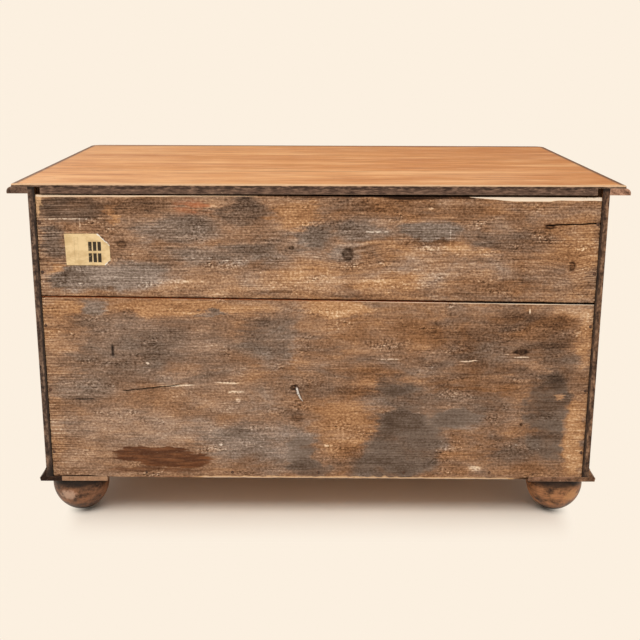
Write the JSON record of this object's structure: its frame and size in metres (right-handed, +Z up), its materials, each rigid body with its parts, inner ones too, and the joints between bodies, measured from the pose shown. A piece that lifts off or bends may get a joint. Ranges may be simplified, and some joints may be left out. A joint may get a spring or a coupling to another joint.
{
  "type": "chest of drawers",
  "caption": "Low oak chest of drawers with a moulded overhanging top, nailed plank back, turned bun feet and drawers with brass bail handles.",
  "frame": {"origin": "on the floor under the middle of the chest's box", "axes": "+X along the width, to the right seen from the front, +Y to the back, +Z up"},
  "size_m": [1, 0.648, 0.582],
  "materials": {
    "top_oak": "old waxed oak, warm orange brown",
    "moulding_oak": "dark waxed oak",
    "side_oak": "dark waxed oak",
    "front_oak": "waxed oak",
    "back_deal": "bare weathered planks",
    "inner_deal": "bare dry wood",
    "foot_wood": "turned and stained, worn polish",
    "brass": "aged cast brass",
    "iron": "forged, rusted",
    "paper": "aged paper"
  },
  "bodies": {
    "carcass": {"top_rear_board": "top_oak", "top_front_board": "top_oak", "top_left_moulding": "moulding_oak", "top_right_moulding": "moulding_oak", "top_front_moulding": "moulding_oak", "base_left_moulding": "moulding_oak", "base_right_moulding": "moulding_oak", "base_front_moulding": "moulding_oak", "left_side": "side_oak", "right_side": "side_oak", "top_rail": "front_oak", "upper_divider": "front_oak", "lower_divider": "front_oak", "upper_back_board": "back_deal", "lower_back_board": "back_deal", "bottom_board": "inner_deal", "front_left_foot_block": "inner_deal", "front_right_foot_block": "inner_deal", "rear_left_foot_block": "inner_deal", "rear_right_foot_block": "inner_deal", "lower_left_runner": "inner_deal", "lower_right_runner": "inner_deal", "upper_left_runner": "inner_deal", "upper_right_runner": "inner_deal", "left_kicker": "inner_deal", "right_kicker": "inner_deal", "drawer_stops": "inner_deal", "front_left_foot": "foot_wood", "front_right_foot": "foot_wood", "rear_left_foot": "foot_wood", "rear_right_foot": "foot_wood", "back_board_nails": "iron", "paper_label": "paper"},
    "upper_drawer": {"upper_drawer_front": "front_oak", "upper_drawer_left_side": "inner_deal", "upper_drawer_right_side": "inner_deal", "upper_drawer_back": "inner_deal", "upper_drawer_bottom": "inner_deal", "upper_drawer_handle_posts": "brass", "upper_drawer_cock_bead": "front_oak"},
    "upper_left_bail": {"upper_drawer_left_bail": "brass"},
    "upper_right_bail": {"upper_drawer_right_bail": "brass"},
    "middle_drawer": {"middle_drawer_front": "front_oak", "middle_drawer_left_side": "inner_deal", "middle_drawer_right_side": "inner_deal", "middle_drawer_back": "inner_deal", "middle_drawer_bottom": "inner_deal", "middle_drawer_handle_posts": "brass", "middle_drawer_cock_bead": "front_oak"},
    "middle_left_bail": {"middle_drawer_left_bail": "brass"},
    "middle_right_bail": {"middle_drawer_right_bail": "brass"},
    "lower_drawer": {"lower_drawer_front": "front_oak", "lower_drawer_left_side": "inner_deal", "lower_drawer_right_side": "inner_deal", "lower_drawer_back": "inner_deal", "lower_drawer_bottom": "inner_deal", "lower_drawer_handle_posts": "brass", "lower_drawer_cock_bead": "front_oak"},
    "lower_left_bail": {"lower_drawer_left_bail": "brass"},
    "lower_right_bail": {"lower_drawer_right_bail": "brass"}
  },
  "joints": [
    {"name": "upper_drawer_slide", "type": "slide", "parent": "carcass", "child": "upper_drawer", "axis": [0, -1, 0], "range_m": [0, 0.42]},
    {"name": "upper_left_bail_hinge", "type": "hinge", "parent": "upper_drawer", "child": "upper_left_bail", "pos_m": [-0.268, -0.3025, 0.493], "axis": [-1, 0, 0], "range_deg": [-18, 115]},
    {"name": "upper_right_bail_hinge", "type": "hinge", "parent": "upper_drawer", "child": "upper_right_bail", "pos_m": [0.268, -0.3025, 0.493], "axis": [-1, 0, 0], "range_deg": [-18, 115]},
    {"name": "middle_drawer_slide", "type": "slide", "parent": "carcass", "child": "middle_drawer", "axis": [0, -1, 0], "range_m": [0, 0.42]},
    {"name": "middle_left_bail_hinge", "type": "hinge", "parent": "middle_drawer", "child": "middle_left_bail", "pos_m": [-0.268, -0.3025, 0.3435], "axis": [-1, 0, 0], "range_deg": [-18, 115]},
    {"name": "middle_right_bail_hinge", "type": "hinge", "parent": "middle_drawer", "child": "middle_right_bail", "pos_m": [0.268, -0.3025, 0.3435], "axis": [-1, 0, 0], "range_deg": [-18, 115]},
    {"name": "lower_drawer_slide", "type": "slide", "parent": "carcass", "child": "lower_drawer", "axis": [0, -1, 0], "range_m": [0, 0.42]},
    {"name": "lower_left_bail_hinge", "type": "hinge", "parent": "lower_drawer", "child": "lower_left_bail", "pos_m": [-0.268, -0.3025, 0.179], "axis": [-1, 0, 0], "range_deg": [-18, 115]},
    {"name": "lower_right_bail_hinge", "type": "hinge", "parent": "lower_drawer", "child": "lower_right_bail", "pos_m": [0.268, -0.3025, 0.179], "axis": [-1, 0, 0], "range_deg": [-18, 115]}
  ]
}
